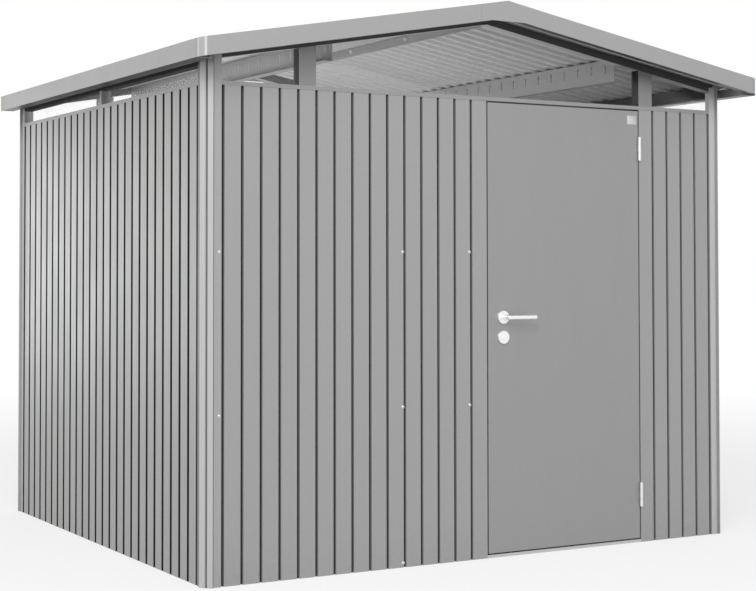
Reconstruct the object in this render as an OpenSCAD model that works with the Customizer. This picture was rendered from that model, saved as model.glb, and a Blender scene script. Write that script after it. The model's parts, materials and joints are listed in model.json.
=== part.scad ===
// Metal storage shed: grooved sheet walls, a clear band under a low gable roof and one hinged door.
// Millimetres. X runs right, Y runs back and Z runs up from the ground.
// The origin is on the ground under the middle of the roof's outline.

/* [Walls] */
// Distance between two wall grooves
rib_pitch = 80; // [72:1:90]
// Groove spaces left of the lock jamb
left_spaces = 14; // [12:1:18]
// Groove spaces across the door
door_spaces = 10; // [9:1:12]
// Groove spaces right of the hinge jamb
right_spaces = 4; // [3:1:8]
// Groove spaces along a side wall
side_spaces = 25; // [21:1:30]
// Groove spaces on one wall sheet
sheet_spaces = 10; // [8:1:10]
// Distance from a corner of the body to the first groove
corner_leg = 72; // [68:1:90]
// Height of the wall sheets below the top rail
wall_h = 1870; // [1750:5:2100]
// Opening of a groove
groove_w = 12; // [10:1:18]
// Flat floor of a groove
groove_floor = 6; // [4:1:9]
// Depth of a groove
groove_depth = 12; // [8:1:16]
// Thickness of the wall and roof sheets
sheet_t = 1.5; // [1:0.1:2]
// Gap between two wall sheets that meet in a groove
seam_gap = 0.6; // [0.4:0.1:1.5]

/* [Frame] */
// Thickness of the folded frame sections
frame_t = 2; // [1.5:0.1:3]
// Depth of rails, jambs and beams from the wall's outer face
frame_depth = 45; // [40:1:60]
// Height of the top rail's outer lip
rail_lip = 16; // [12:1:40]
// Height of the top rail's inner lip
rail_inner_lip = 40; // [25:1:60]
// Height of the base rails
base_h = 40; // [30:1:60]
// Leg of a corner post from the body's corner to its edge
post_leg = 65; // [58:1:67]
// Leg of the slanted corner face of a post
post_chamfer = 38; // [30:1:40]
// Width of the flute down the slanted face
flute_w = 9; // [6:1:14]
// Depth of that flute
flute_depth = 5; // [3:0.5:8]
// Height of the slanted face's edges above the walls
post_proud = 12; // [6:1:16]
// Gap between the core of a corner post and the rails, beams and clear sheets that end there
core_gap = 0.5; // [0.3:0.1:1]

/* [Clear band] */
// Clear height of the band on the side walls
side_band_h = 60; // [25:1:80]
// Thickness of the clear sheets
glazing_t = 4; // [3:0.5:6]
// Setback of the clear sheets from the wall's outer face
glazing_setback = 20; // [12:1:30]
// Width of a short post in the gable walls
short_post_w = 75; // [50:1:90]
// Width of the bar between the two clear sheets of a side wall
mullion_w = 22; // [15:1:50]

/* [Roof] */
// Roof overhang in front of the door
front_overhang = 150; // [120:1:220]
// Roof overhang at the back
back_overhang = 50; // [45:1:220]
// Roof overhang at the sides
side_overhang = 92; // [85:1:150]
// Slope of the roof
roof_pitch = 10; // [7:0.5:14]
// Height of the fascia
fascia_h = 70; // [60:1:90]
// Rise from the side beams' lower edge to the fascia's lower edge
eave_rise = 4; // [2:1:40]
// Drop of the gable beams below the fascia's lower edge
gable_drop = 6; // [4:1:20]
// Height of the roof sheets' lowest face above the fascia's lower edge
sheet_lift = 26; // [20:1:32]
// Leg of the slanted roof corners
roof_chamfer = 30; // [22:1:40]
// Bend radius of the slanted roof corners
corner_bend = 18; // [10:1:22]
// Width of the gutter behind the eave fascia
gutter_w = 60; // [50:1:75]
// Reach of the roof sheets over the gutter
drip = 18; // [10:1:25]
// Width of the channel behind the gable fascia
channel_w = 32; // [25:1:40]
// Inward hem along the top of the fascia
hem = 14; // [8:1:20]
// Half width of the ridge cap
ridge_cap_half = 95; // [60:1:140]
// Gap between the roof sheets and the ridge cap and purlins that lie along them
cap_gap = 0.05; // [0.02:0.01:0.2]
// Width of the ridge beam
ridge_beam_w = 40; // [30:1:60]
// Half width of the plates over the fascia joints at the apex
apex_plate_half = 130; // [100:1:160]
// Half width of the straight middle of those plates' lower edge
apex_flat_half = 80; // [50:1:95]
// Thickness of those plates
apex_plate_t = 1.5; // [1:0.1:3]
// Distance from the ridge to the webs of the purlins
purlin_x = 705; // [600:5:780]
// Height of a purlin
purlin_h = 98; // [75:1:120]
// Width of the flanges of a purlin
purlin_w = 40; // [30:1:50]
// Distance between slots in the webs of the purlins
slot_pitch = 97; // [80:1:150]
// Distance from a purlin's upper edge down to its slots
slot_drop = 19; // [12:1:24]
// Height of those slots
slot_h = 40; // [20:1:46]
// Width of those slots
slot_w = 8; // [5:1:12]

/* [Door] */
// Gap around the door leaf
door_gap = 6; // [5.8:0.1:9]
// Thickness of the door leaf
leaf_t = 34; // [28:1:36]
// Height of the threshold
threshold_h = 12; // [8:1:20]
// Width of the leaf's inner border
leaf_border = 110; // [105:1:130]
// Depth of the inner pockets of the leaf
pocket_depth = 6; // [3:1:12]
// Distance from the leaf's free edge to the lever's turning axis
backset = 75; // [70:1:76]
// Height of the lever's turning axis above the ground
lever_z = 980; // [900:5:1050]
// Distance from the lever's axis down to the lock
lock_drop = 82; // [72:1:100]
// Diameter of the round plates of lever and lock
plate_d = 54; // [48:1:58]
// Thickness of those plates
plate_t = 8; // [6:0.5:12]
// Radius of the rounded rim of those plates
plate_rim = 2.5; // [1:0.5:4]
// Length of the lever from its axis to its tip
lever_len = 140; // [110:1:150]
// Diameter of the lever
lever_d = 18; // [14:1:22]
// Diameter of the lever's neck
neck_d = 16; // [14:1:18]
// Gap between the lever's neck and the leaf
neck_gap = 0.3; // [0.2:0.1:0.5]
// Distance from the leaf to the middle of the lever
lever_reach = 45; // [38:1:55]
// Diameter of the spindle through the leaf
spindle_d = 10; // [8:1:12]
// Radial clearance of the turning pieces
turn_clear = 0.06; // [0.04:0.01:0.1]
// Diameter of the lock cylinder's core
core_d = 17; // [14:1:20]
// Length by which that core stands out of its plate
core_out = 3; // [2:0.5:6]

/* [Hinges] */
// Height of a hinge
hinge_h = 100; // [80:1:140]
// Distance from the leaf's top to the middle of the upper hinge
upper_hinge_drop = 164; // [90:1:400]
// Distance from the leaf's bottom to the middle of the lower hinge
lower_hinge_rise = 187; // [90:1:400]
// Outer diameter of the hinge barrel
barrel_d = 14; // [12:0.5:18]
// Diameter of the hinge pin
pin_d = 6; // [5:0.5:8]
// Thickness of the hinge plates
hinge_plate_t = 2; // [1.5:0.1:2.2]
// Depth of the hinge plates in the door gap
hinge_plate_w = 25; // [18:1:28]
// Gap between barrel sections, and between the barrel and the door
barrel_gap = 0.5; // [0.3:0.1:1]

/* [Hidden] */
$fn = 48;
// Length by which a cut passes the face it starts from
past = 1;
PAINT = [0.66, 0.67, 0.68];
POST_PAINT = [0.74, 0.75, 0.76];
CLEAR = [0.85, 0.92, 0.95, 0.35];
STEEL = [0.85, 0.86, 0.87];

front_spaces = left_spaces + door_spaces + right_spaces + 2;
body_w = front_spaces * rib_pitch + 2 * corner_leg;
body_d = side_spaces * rib_pitch + 2 * corner_leg;
roof_w = body_w + 2 * side_overhang;
roof_d = body_d + front_overhang + back_overhang;
wall_x = body_w / 2;
roof_x = roof_w / 2;
front_y = front_overhang - roof_d / 2;
back_y = front_y + body_d;
mid_y = (front_y + back_y) / 2;

rail_top = wall_h + rail_lip;
beam_z = rail_top + side_band_h;
eave_z = beam_z + eave_rise;
slope = tan(roof_pitch);
apex_z = eave_z + roof_x * slope;
sheet_low = sheet_lift * cos(roof_pitch);
sheet_top = sheet_low + groove_depth + sheet_t;
corner_reach = roof_chamfer + corner_bend * tan(22.5);

// Sideways shift of a groove's corners on the inner face, which keeps the sheet's thickness even
groove_shift = sheet_t * tan(atan2(groove_depth, (groove_w - groove_floor) / 2) / 2);

door_left = front_groove(left_spaces + 1);
door_right = front_groove(left_spaces + 1 + door_spaces);
leaf_left = door_left + door_gap / 2;
leaf_right = door_right - door_gap / 2;
leaf_low = threshold_h + door_gap;
leaf_high = wall_h - door_gap;
lever_x = leaf_left + backset;
short_post_x = door_right + rib_pitch / 2;
post_h = under(wall_x + post_proud) + sheet_lift;
post_core = frame_depth - core_gap;
post_inner = post_core + frame_t;
gable_half = wall_x - post_core - core_gap;
side_half = body_d / 2 - post_core - core_gap;

hinge_y = front_y - barrel_d / 2 - barrel_gap;
knuckle_h = hinge_h / 3;
hinge_heights = [leaf_low + lower_hinge_rise, leaf_high - upper_hinge_drop];
plate_start = barrel_d / 2 + barrel_gap;

// X of a groove in the front or back wall, and its place along a side wall
function front_groove(i) = corner_leg - wall_x + i * rib_pitch;
function side_groove(i) = corner_leg - body_d / 2 + i * rib_pitch;

// Lower face of the roof frame above a point at distance x from the middle
function under(x) = eave_z + (roof_x - abs(x)) * slope;

// Corners of a whole groove at c, and of the half groove where a sheet starts or ends
function groove(c, s, k) = [[c - groove_w / 2 - k, s], [c - groove_floor / 2 - k, groove_depth + s],
    [c + groove_floor / 2 + k, groove_depth + s], [c + groove_w / 2 + k, s]];
function half_start(c, s, k) = [[c + seam_gap / 2, groove_depth + s],
    [c + groove_floor / 2 + k, groove_depth + s], [c + groove_w / 2 + k, s]];
function half_end(c, s, k) = [[c - groove_w / 2 - k, s], [c - groove_floor / 2 - k, groove_depth + s],
    [c - seam_gap / 2, groove_depth + s]];

// Face of a sheet from start to end over the whole grooves at centres
function sheet_face(start, end, centres, s, k) =
    concat(start, [for (c = centres) each groove(c, s, k)], end);
function backwards(points) = [for (i = [len(points) - 1:-1:0]) points[i]];

// Points of an arc about c
function arc(c, r, from, to) =
    [for (i = [0:4]) c + r * [cos(from + (to - from) * i / 4), sin(from + (to - from) * i / 4)]];

// Sheet outlines: between two seams, from a plain edge to a seam, and from a seam to a plain edge
module sheet_between(a, b, centres) {
    polygon(concat(sheet_face(half_start(a, 0, 0), half_end(b, 0, 0), centres, 0, 0),
        backwards(sheet_face(half_start(a, sheet_t, groove_shift), half_end(b, sheet_t, groove_shift),
            centres, sheet_t, groove_shift))));
}

module sheet_from_edge(edge, b, centres) {
    polygon(concat(sheet_face([[edge, 0]], half_end(b, 0, 0), centres, 0, 0),
        backwards(sheet_face([[edge, sheet_t]], half_end(b, sheet_t, groove_shift),
            centres, sheet_t, groove_shift))));
}

module sheet_between_edges(a, b, centres) {
    polygon(concat(sheet_face([[a, 0]], [[b, 0]], centres, 0, 0),
        backwards(sheet_face([[a, sheet_t]], [[b, sheet_t]], centres, sheet_t, groove_shift))));
}

// Wall frames: x runs along the wall as seen from outside and y runs inwards from its outer face
module on_front() { translate([0, front_y, 0]) children(); }
module on_back() { translate([0, back_y, 0]) rotate([0, 0, 180]) children(); }
module on_left() { translate([-wall_x, mid_y, 0]) rotate([0, 0, -90]) children(); }
module on_right() { translate([wall_x, mid_y, 0]) rotate([0, 0, 90]) children(); }

// Extrudes an outline drawn in x and z from y0 to y1
module along_y(y0, y1) {
    translate([0, y1, 0]) rotate([90, 0, 0]) linear_extrude(y1 - y0) children();
}

// Both slopes between -x1 and x1, between two heights above the roof frame's lower face
module slope_chevron(x1, low, high) {
    polygon([[-x1, under(x1) + low], [0, apex_z + low], [x1, under(x1) + low],
        [x1, under(x1) + high], [0, apex_z + high], [-x1, under(x1) + high]]);
}

// Row of sheets that closes a wall with no door, ends under the corner posts
module closed_wall(spaces, half, first) {
    edge = half - post_inner;
    seams = [for (i = [sheet_spaces:sheet_spaces:spaces - 1]) i];
    last = len(seams) - 1;
    linear_extrude(rail_top - frame_t) {
        sheet_from_edge(-edge, first + seams[0] * rib_pitch,
            [for (i = [0:seams[0] - 1]) first + i * rib_pitch]);
        for (n = [1:1:last])
            sheet_between(first + seams[n - 1] * rib_pitch, first + seams[n] * rib_pitch,
                [for (i = [seams[n - 1] + 1:seams[n] - 1]) first + i * rib_pitch]);
        mirror([1, 0]) sheet_from_edge(-edge, -first - seams[last] * rib_pitch,
            [for (i = [spaces:-1:seams[last] + 1]) -first - i * rib_pitch]);
    }
}

module front_left_panels() {
    color(PAINT) on_front() linear_extrude(rail_top - frame_t) {
        sheet_from_edge(post_inner - wall_x, front_groove(sheet_spaces),
            [for (i = [0:sheet_spaces - 1]) front_groove(i)]);
        sheet_between(front_groove(sheet_spaces), front_groove(left_spaces),
            [for (i = [sheet_spaces + 1:left_spaces - 1]) front_groove(i)]);
    }
}

module front_right_panel() {
    color(PAINT) on_front() linear_extrude(rail_top - frame_t) mirror([1, 0])
        sheet_from_edge(post_inner - wall_x, -front_groove(front_spaces - right_spaces),
            [for (i = [0:right_spaces - 1]) front_groove(i)]);
}

module left_wall_panels() {
    color(PAINT) on_left() closed_wall(side_spaces, body_d / 2, side_groove(0));
}

module right_wall_panels() {
    color(PAINT) on_right() closed_wall(side_spaces, body_d / 2, side_groove(0));
}

module back_wall_panels() {
    color(PAINT) on_back() closed_wall(front_spaces, wall_x, front_groove(0));
}

// Folded skin of a corner post in plan: lapping edges, steps outwards and a slanted face with a flute
module post_skin() {
    t = frame_t;
    p = post_proud;
    edge = post_chamfer - p;
    half = flute_w / sqrt(8);
    mid = (edge - p) / 2;
    floor = mid + flute_depth / sqrt(2);
    bend = t * (1 + sqrt(2)) - p;
    polygon([[post_leg, -t], [edge, -t], [edge, -p], [mid + half, mid - half], [floor, floor],
        [mid - half, mid + half], [-p, edge], [-t, edge], [-t, post_leg], [0, post_leg], [0, edge - t],
        [bend, edge - t], [floor + t, floor + t], [edge - t, bend], [edge - t, 0], [post_leg, 0]]);
}

// Angle that closes the skin to a square core
module post_angle() {
    start = -frame_t / 2;
    translate([start, post_core - frame_t]) square([post_core - start, frame_t]);
    translate([post_core - frame_t, start]) square([frame_t, post_core - start]);
}

module corner_post(side_x, side_y) {
    color(POST_PAINT) translate([side_x * wall_x, side_y > 0 ? back_y : front_y, 0])
        mirror([side_x > 0 ? 1 : 0, 0, 0]) mirror([0, side_y > 0 ? 1 : 0, 0]) {
            linear_extrude(post_h) post_skin();
            linear_extrude(post_h) post_angle();
        }
}

module front_left_post() { corner_post(-1, -1); }
module front_right_post() { corner_post(1, -1); }
module back_left_post() { corner_post(-1, 1); }
module back_right_post() { corner_post(1, 1); }

// Angle on the ground behind the sheets, from x0 to x1 along its wall
module base_rail(x0, x1) {
    inner = groove_depth + sheet_t;
    translate([x0, 0, 0]) rotate([90, 0, 90]) linear_extrude(x1 - x0) {
        translate([inner, 0]) square([frame_t, base_h]);
        translate([inner, 0]) square([frame_depth - inner, frame_t]);
    }
}

module front_base_rails() {
    color(PAINT) on_front() {
        base_rail(-gable_half, door_left - door_gap / 2 - frame_depth);
        base_rail(door_right + door_gap / 2 + frame_depth, gable_half);
    }
}

module left_base_rail() { color(PAINT) on_left() base_rail(-side_half, side_half); }
module right_base_rail() { color(PAINT) on_right() base_rail(-side_half, side_half); }
module back_base_rail() { color(PAINT) on_back() base_rail(-gable_half, gable_half); }

// Low hat section on the ground between the jambs
module door_threshold() {
    color(POST_PAINT) on_front()
        translate([door_left - door_gap / 2, 0, 0]) rotate([90, 0, 90])
            linear_extrude(door_right - door_left + door_gap) difference() {
                square([frame_depth, threshold_h]);
                translate([frame_t, -past]) square([frame_depth - 2 * frame_t, threshold_h - frame_t + past]);
            }
}

// Jamb in plan, drawn for the lock side: half a groove, the face, the return and the inner lip
module jamb_plan(groove_x, edge) {
    polygon(concat(half_start(groove_x, 0, 0), [[edge, 0], [edge, sheet_t]],
        backwards(half_start(groove_x, sheet_t, groove_shift))));
    translate([edge - frame_t, 0]) square([frame_t, frame_depth]);
    translate([edge - frame_depth, frame_depth - frame_t]) square([frame_depth, frame_t]);
}

module lock_jamb() {
    color(PAINT) on_front() linear_extrude(rail_top - frame_t)
        jamb_plan(front_groove(left_spaces), door_left - door_gap / 2);
}

module hinge_jamb() {
    color(PAINT) on_front() linear_extrude(rail_top - frame_t) mirror([1, 0])
        jamb_plan(-front_groove(left_spaces + door_spaces + 2), -door_right - door_gap / 2);
}

// Channel over the tops of the sheets, from -half to half along its wall
module top_rail(half, inner_lip) {
    translate([-half, 0, 0]) rotate([90, 0, 90]) linear_extrude(2 * half) {
        translate([-frame_t, wall_h]) square([frame_t, rail_lip]);
        translate([-frame_t, rail_top - frame_t]) square([frame_depth + 2 * frame_t, frame_t]);
        translate([frame_depth, rail_top - inner_lip]) square([frame_t, inner_lip]);
    }
}

module front_top_rail() { color(PAINT) on_front() top_rail(wall_x - post_leg, rail_inner_lip); }
module back_top_rail() { color(PAINT) on_back() top_rail(wall_x - post_leg, rail_inner_lip); }
module left_top_rail() { color(PAINT) on_left() top_rail(body_d / 2 - post_leg, rail_inner_lip); }
module right_top_rail() { color(PAINT) on_right() top_rail(body_d / 2 - post_leg, rail_inner_lip); }

// Hollow short post at x on the top rail, cut to the slope under the gable beam
module short_post(x) {
    x0 = x - short_post_w / 2;
    x1 = x + short_post_w / 2;
    difference() {
        along_y(0, frame_depth) polygon([[x0, rail_top], [x1, rail_top],
            [x1, under(x1) - gable_drop], [x0, under(x0) - gable_drop]]);
        translate([x0 + frame_t, frame_t, rail_top - past])
            cube([short_post_w - 2 * frame_t, frame_depth - 2 * frame_t, apex_z]);
    }
}

module front_short_posts() {
    color(POST_PAINT) on_front() for (x = [-short_post_x, short_post_x]) short_post(x);
}

module back_short_posts() {
    color(POST_PAINT) on_back() for (x = [-short_post_x, short_post_x]) short_post(x);
}

module mullion() {
    translate([-mullion_w / 2, 0, rail_top]) cube([mullion_w, frame_depth, side_band_h]);
}

module side_mullions() {
    color(POST_PAINT) {
        on_left() mullion();
        on_right() mullion();
    }
}

// Three clear sheets under a gable beam
module gable_panes() {
    near = short_post_x - short_post_w / 2;
    far = short_post_x + short_post_w / 2;
    along_y(glazing_setback, glazing_setback + glazing_t) {
        polygon([[-near, rail_top], [near, rail_top], [near, under(near) - gable_drop],
            [0, apex_z - gable_drop], [-near, under(near) - gable_drop]]);
        for (side = [-1, 1])
            polygon([[side * far, rail_top], [side * gable_half, rail_top],
                [side * gable_half, under(gable_half) - gable_drop], [side * far, under(far) - gable_drop]]);
    }
}

// Two clear sheets under a side beam
module side_panes() {
    start = mullion_w / 2;
    for (side = [0, 1]) mirror([side, 0, 0])
        translate([start, glazing_setback, rail_top]) cube([side_half - start, glazing_t, side_band_h]);
}

module front_clear_band() { color(CLEAR) on_front() gable_panes(); }
module back_clear_band() { color(CLEAR) on_back() gable_panes(); }
module left_clear_band() { color(CLEAR) on_left() side_panes(); }
module right_clear_band() { color(CLEAR) on_right() side_panes(); }

// Channel along both slopes over a gable wall
module gable_beam() {
    along_y(0, frame_depth) slope_chevron(gable_half, -gable_drop, frame_t - gable_drop);
    along_y(0, frame_t) slope_chevron(gable_half, -gable_drop, sheet_lift);
    along_y(frame_depth - frame_t, frame_depth) slope_chevron(gable_half, -gable_drop, sheet_lift);
}

module front_gable_beam() { color(PAINT) on_front() gable_beam(); }
module back_gable_beam() { color(PAINT) on_back() gable_beam(); }

// Side beam in section, drawn for the left wall: x is the distance from the wall's outer face
module eave_beam_section() {
    d = frame_depth;
    t = frame_t;
    rim = under(wall_x) + sheet_lift;
    polygon([[0, beam_z], [d, beam_z], [d, rim + d * slope], [d - t, rim + (d - t) * slope],
        [d - t, beam_z + t], [t, beam_z + t], [t, rim + t * slope], [0, rim]]);
}

module eave_beam() {
    translate([-side_half, 0, 0]) rotate([90, 0, 90]) linear_extrude(2 * side_half) eave_beam_section();
}

module left_eave_beam() { color(PAINT) on_left() eave_beam(); }
module right_eave_beam() { color(PAINT) on_right() eave_beam(); }

// Trough under the ridge between the two gable beams
module ridge_beam() {
    w = ridge_beam_w / 2;
    low = apex_z - gable_drop;
    color(PAINT) along_y(front_y + frame_depth, back_y - frame_depth) {
        translate([-w, low]) square([ridge_beam_w, frame_t]);
        for (side = [0, 1]) mirror([side, 0])
            polygon([[w - frame_t, low], [w, low], [w, under(w) + sheet_lift],
                [w - frame_t, under(w - frame_t) + sheet_lift]]);
    }
}

// Folded beam under the middle of the right slope, its slotted web towards the ridge
module purlin() {
    t = frame_t;
    x0 = purlin_x;
    x1 = purlin_x + purlin_w;
    lift = sheet_lift - cap_gap;
    low = under(x0) + lift - purlin_h;
    y0 = front_y + frame_depth;
    y1 = back_y - frame_depth;
    slots = floor((y1 - y0 - slot_pitch) / slot_pitch);
    difference() {
        along_y(y0, y1) polygon([[x0, low], [x1, low], [x1, low + t], [x0 + t, low + t],
            [x0 + t, under(x0 + t) + lift - t], [x1, under(x1) + lift - t], [x1, under(x1) + lift],
            [x0, under(x0) + lift]]);
        for (i = [0:slots])
            translate([x0 - past, mid_y + (i - slots / 2) * slot_pitch - slot_w / 2,
                low + purlin_h - slot_drop - slot_h])
                cube([t + 2 * past, slot_w, slot_h]);
    }
}

module purlins() {
    color(PAINT) for (side = [0, 1]) mirror([side, 0, 0]) purlin();
}

// Grooved roof sheet of the right slope, from the ridge to the gutter
module roof_sheet() {
    edge = roof_d / 2 - 2 * frame_t;
    count = floor((2 * edge - rib_pitch) / rib_pitch);
    start = seam_gap / 2;
    end = roof_x - gutter_w + drip;
    translate([start, 0, apex_z - start * slope]) rotate([0, roof_pitch, 0])
        translate([-sheet_low * slope, 0, sheet_top]) rotate([90, 0, 90])
        linear_extrude((end - start) / cos(roof_pitch)) mirror([0, 1])
            sheet_between_edges(-edge, edge, [for (i = [0:count]) (i - count / 2) * rib_pitch]);
}

module right_roof_sheet() { color(PAINT) roof_sheet(); }
module left_roof_sheet() { color(PAINT) mirror([1, 0, 0]) roof_sheet(); }

// Folded cap over the ridge, resting on the flats of both sheets
module ridge_cap() {
    edge = roof_d / 2 - 2 * frame_t;
    lift = sheet_top / cos(roof_pitch) + cap_gap;
    color(PAINT) along_y(-edge, edge) slope_chevron(ridge_cap_half, lift, lift + sheet_t);
}

// Gable fascia with its channel, drawn at the front
module gable_fascia() {
    x1 = roof_x - corner_reach;
    along_y(0, frame_t) slope_chevron(x1, 0, fascia_h);
    along_y(0, channel_w) slope_chevron(x1, 0, frame_t);
    along_y(channel_w - frame_t, channel_w) slope_chevron(x1, 0, sheet_lift);
    along_y(0, hem) slope_chevron(x1, fascia_h - frame_t, fascia_h);
}

module front_fascia() { color(PAINT) translate([0, -roof_d / 2, 0]) gable_fascia(); }
module back_fascia() { color(PAINT) translate([0, roof_d / 2, 0]) rotate([0, 0, 180]) gable_fascia(); }

// Eave fascia folded into a gutter, drawn on the left
module eave_gutter() {
    t = frame_t;
    lip_x = gutter_w - roof_x;
    plate_end = roof_d / 2 - corner_reach;
    trough_end = min(plate_end, roof_d / 2 - channel_w);
    color(PAINT) {
        along_y(-plate_end, plate_end) {
            translate([-roof_x, eave_z]) square([t, fascia_h]);
            translate([-roof_x, eave_z + fascia_h - t]) square([hem, t]);
        }
        along_y(-trough_end, trough_end) {
            translate([-roof_x, eave_z]) square([gutter_w, t]);
            polygon([[lip_x - t, eave_z], [lip_x, eave_z], [lip_x, under(lip_x) + sheet_lift],
                [lip_x - t, under(lip_x - t) + sheet_lift]]);
        }
    }
}

module left_gutter() { eave_gutter(); }
module right_gutter() { mirror([1, 0, 0]) eave_gutter(); }

// Outer line of a slanted roof corner in plan, with a rounded bend at each end
function corner_line() = concat([[corner_reach, 0]], arc([roof_chamfer, corner_bend], corner_bend, 270, 225),
    arc([corner_bend, roof_chamfer], corner_bend, 225, 180), [[0, corner_reach]]);

module roof_corner_plan() {
    c = roof_chamfer;
    r = corner_bend;
    t = frame_t;
    polygon(concat(corner_line(), [[t, corner_reach]], arc([r, c], r - t, 180, 225),
        arc([c, r], r - t, 225, 270), [[corner_reach, t]]));
}

// Slice of a roof corner that rises with the gable fascia
module corner_slice(h) {
    end = corner_reach + past;
    intersection() {
        linear_extrude(fascia_h + corner_reach * slope) children();
        along_y(-past, end) polygon([[-past, -past * slope], [end, end * slope], [end, end * slope + h],
            [-past, h - past * slope]]);
    }
}

// Slanted face and floor of one roof corner
module roof_corner() {
    corner_slice(fascia_h) roof_corner_plan();
    corner_slice(frame_t) polygon(concat(corner_line(), [[corner_reach, corner_reach]]));
}

module roof_corners() {
    color(POST_PAINT) for (side_x = [0, 1], side_y = [0, 1])
        mirror([side_x, 0, 0]) mirror([0, side_y, 0]) translate([-roof_x, -roof_d / 2, eave_z]) roof_corner();
}

// Plates over the joints of the gable fascia
module apex_plates() {
    w = apex_plate_half;
    flat = apex_flat_half;
    color(PAINT) for (y = [-roof_d / 2 - apex_plate_t, roof_d / 2])
        along_y(y, y + apex_plate_t) polygon([[-w, under(w)], [-flat, under(flat)], [flat, under(flat)],
            [w, under(w)], [w, under(w) + fascia_h], [0, apex_z + fascia_h], [-w, under(w) + fascia_h]]);
}

// Hollow sheet-metal leaf with three shallow pockets inside and the lever's bore
module door_leaf() {
    t = sheet_t;
    w = leaf_right - leaf_left;
    h = leaf_high - leaf_low;
    pocket_h = (h - 4 * leaf_border) / 3;
    color(PAINT) difference() {
        translate([leaf_left, front_y, leaf_low]) cube([w, leaf_t, h]);
        translate([leaf_left + t, front_y + t, leaf_low + t])
            cube([w - 2 * t, leaf_t - pocket_depth - 2 * t, h - 2 * t]);
        for (i = [0:2])
            translate([leaf_left + leaf_border, front_y + leaf_t - pocket_depth,
                leaf_low + leaf_border + i * (pocket_h + leaf_border)])
                cube([w - 2 * leaf_border, pocket_depth + past, pocket_h]);
        translate([lever_x, front_y - past, lever_z]) rotate([-90, 0, 0])
            cylinder(d = spindle_d + 2 * turn_clear, h = leaf_t + 2 * past);
    }
}

// Barrel section of a hinge between two heights
module knuckle(z0, z1) {
    translate([door_right, hinge_y, z0]) cylinder(d = barrel_d, h = z1 - z0);
}

// Plate in the door gap and its neck to a barrel section, at x from the hinge axis
module hinge_plate(x, z, necks) {
    translate([door_right + x, hinge_y + plate_start, z - hinge_h / 2])
        cube([hinge_plate_t, hinge_plate_w, hinge_h]);
    for (neck = necks)
        translate([door_right + x, hinge_y, neck[0]])
            cube([hinge_plate_t, plate_start, neck[1] - neck[0]]);
}

module door_hinge_half(z) {
    span = [z - knuckle_h / 2, z + knuckle_h / 2];
    difference() {
        union() {
            knuckle(span[0], span[1]);
            hinge_plate(-door_gap / 2, z, [span]);
        }
        translate([door_right, hinge_y, span[0] - past])
            cylinder(d = pin_d + 2 * turn_clear, h = knuckle_h + 2 * past);
    }
}

module frame_hinge_half(z) {
    low = [z - hinge_h / 2, z - knuckle_h / 2 - barrel_gap];
    high = [z + knuckle_h / 2 + barrel_gap, z + hinge_h / 2];
    knuckle(low[0], low[1]);
    knuckle(high[0], high[1]);
    hinge_plate(door_gap / 2 - hinge_plate_t, z, [low, high]);
    translate([door_right, hinge_y, low[0]]) cylinder(d = pin_d, h = hinge_h);
}

module door_hinge_halves() {
    color(STEEL) for (z = hinge_heights) door_hinge_half(z);
}

module frame_hinge_halves() {
    color(STEEL) for (z = hinge_heights) frame_hinge_half(z);
}

// Round plate with a rounded rim
module round_plate() {
    edge = [plate_d / 2 - plate_rim, plate_t - plate_rim];
    rotate_extrude() polygon(concat([[0, 0], [plate_d / 2, 0]], arc(edge, plate_rim, 0, 90), [[0, plate_t]]));
}

// Plate under the lever, with a bore for its neck
module lever_plate() {
    rotate([90, 0, 0]) difference() {
        round_plate();
        translate([0, 0, -past]) cylinder(d = neck_d + 2 * turn_clear, h = plate_t + 2 * past);
    }
}

// Plate with the lock cylinder's core
module lock_plate() {
    rotate([90, 0, 0]) {
        round_plate();
        cylinder(d = core_d, h = plate_t + core_out);
    }
}

module lock_plates() {
    color(STEEL) for (inside = [0, 1])
        translate([lever_x, front_y + inside * leaf_t, 0]) mirror([0, inside, 0]) {
            translate([0, 0, lever_z]) lever_plate();
            translate([0, 0, lever_z - lock_drop]) lock_plate();
        }
}

// Neck and bar of one lever, drawn outside the leaf
module lever_arm() {
    translate([0, -neck_gap, 0]) rotate([90, 0, 0]) cylinder(d = neck_d, h = lever_reach - neck_gap);
    translate([0, -lever_reach, 0]) {
        sphere(d = lever_d);
        rotate([0, 90, 0]) cylinder(d = lever_d, h = lever_len - lever_d / 2);
        translate([lever_len - lever_d / 2, 0, 0]) sphere(d = lever_d);
    }
}

module door_lever() {
    color(STEEL) translate([lever_x, front_y, lever_z]) {
        lever_arm();
        translate([0, leaf_t, 0]) mirror([0, 1, 0]) lever_arm();
        translate([0, -neck_gap, 0]) rotate([-90, 0, 0]) cylinder(d = spindle_d, h = leaf_t + 2 * neck_gap);
    }
}

front_left_panels();
front_right_panel();
left_wall_panels();
right_wall_panels();
back_wall_panels();
front_left_post();
front_right_post();
back_left_post();
back_right_post();
front_base_rails();
left_base_rail();
right_base_rail();
back_base_rail();
door_threshold();
lock_jamb();
hinge_jamb();
front_top_rail();
left_top_rail();
right_top_rail();
back_top_rail();
front_short_posts();
back_short_posts();
side_mullions();
front_clear_band();
back_clear_band();
left_clear_band();
right_clear_band();
front_gable_beam();
back_gable_beam();
left_eave_beam();
right_eave_beam();
ridge_beam();
purlins();
left_roof_sheet();
right_roof_sheet();
ridge_cap();
front_fascia();
back_fascia();
left_gutter();
right_gutter();
roof_corners();
apex_plates();
door_leaf();
door_hinge_halves();
frame_hinge_halves();
lock_plates();
door_lever();
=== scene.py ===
"""Looks of a grooved sheet-metal shed: paints, clear band, fixings, light and camera."""

import json
import logging
import math
from dataclasses import dataclass
from enum import Enum
from typing import Sequence, Union

import bmesh
import bpy
from mathutils import Matrix, Vector


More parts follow.
